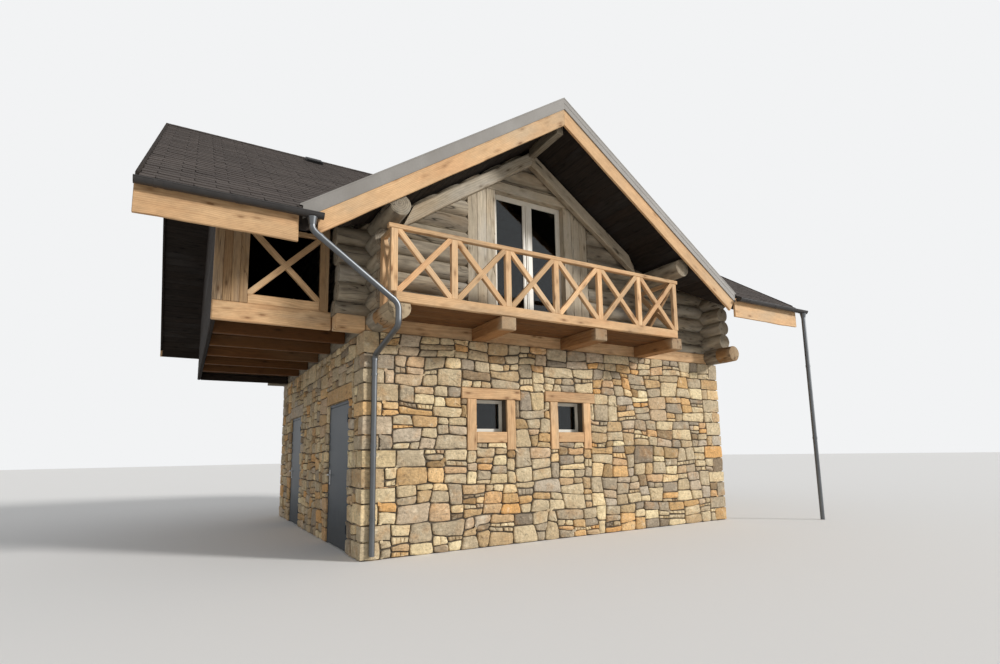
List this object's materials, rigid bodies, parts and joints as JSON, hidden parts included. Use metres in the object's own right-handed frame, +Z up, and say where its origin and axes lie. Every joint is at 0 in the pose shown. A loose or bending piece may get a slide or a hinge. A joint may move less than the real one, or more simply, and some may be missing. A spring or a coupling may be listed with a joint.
{
  "type": "alpine chalet",
  "caption": "Mountain house with a rubble stone ground storey, a notched log storey with a balcony and an open boarded bay, and a gable roof with a cross gable over the balcony",
  "frame": {"origin": "middle of the stone storey's footprint at ground level", "axes": "+X to the right along the front, +Y from the front to the rear, +Z up"},
  "size_m": [11.124, 9.04, 7.1393],
  "materials": {
    "stone": "rough, pointed rubble",
    "slab": "rough, concrete",
    "planed_wood": "satin, oiled",
    "weathered_wood": "matt, weathered",
    "window_wood": "satin, painted",
    "glazing": "clear, polished",
    "door_steel": "satin, painted",
    "handle": "satin, anodised",
    "shingle": "rough, mineral granules on bitumen",
    "dark_boards": "matt, stained",
    "verge_metal": "satin, folded sheet",
    "gutter_metal": "satin, coated",
    "pipe_metal": "satin, coated",
    "vent_metal": "matt, coated"
  },
  "bodies": {
    "house": {"stone_front_wall": "stone", "stone_left_piers": "stone", "stone_left_lintel": "stone", "stone_right_wall": "stone", "stone_rear_wall": "stone", "ground_floor": "slab", "window_surrounds": "planed_wood", "window_frames": "window_wood", "window_glass": "glazing", "door_frames": "door_steel", "upper_floor": "planed_wood", "front_sill": "planed_wood", "front_logs": "weathered_wood", "rear_logs": "weathered_wood", "left_logs": "weathered_wood", "right_logs": "weathered_wood", "french_door_posts": "weathered_wood", "french_door_lintel": "weathered_wood", "french_door_frame": "window_wood", "french_door_glass": "glazing", "gable_rafters": "weathered_wood", "purlins": "weathered_wood", "roof_front_left": "shingle", "roof_front_right": "shingle", "roof_rear": "shingle", "cross_roof_left": "shingle", "cross_roof_right": "shingle", "fascias": "planed_wood", "bargeboards": "planed_wood", "verge_boards": "dark_boards", "verge_trims": "verge_metal", "gutters": "gutter_metal", "downpipes": "pipe_metal", "balcony_corbels": "planed_wood", "balcony_deck": "planed_wood", "balcony_rim": "planed_wood", "balcony_railing": "planed_wood", "balcony_returns": "planed_wood", "bay_joists": "planed_wood", "bay_rim": "planed_wood", "bay_floor": "planed_wood", "bay_side_wall": "dark_boards", "bay_rear_wall": "dark_boards", "bay_posts": "planed_wood", "bay_railing": "planed_wood", "roof_vent": "vent_metal"},
    "near_leaf": {"near_door": "door_steel", "near_door_handle": "handle"},
    "far_leaf": {"far_door": "door_steel", "far_door_handle": "handle"}
  },
  "joints": [
    {"name": "near_door_hinge", "type": "hinge", "parent": "house", "child": "near_leaf", "pos_m": [-3.556, -2.595, 0.26], "axis": [0, 0, 1], "range_deg": [0, 110]},
    {"name": "far_door_hinge", "type": "hinge", "parent": "house", "child": "far_leaf", "pos_m": [-3.556, 1.025, 0.26], "axis": [0, 0, 1], "range_deg": [0, 110]}
  ]
}
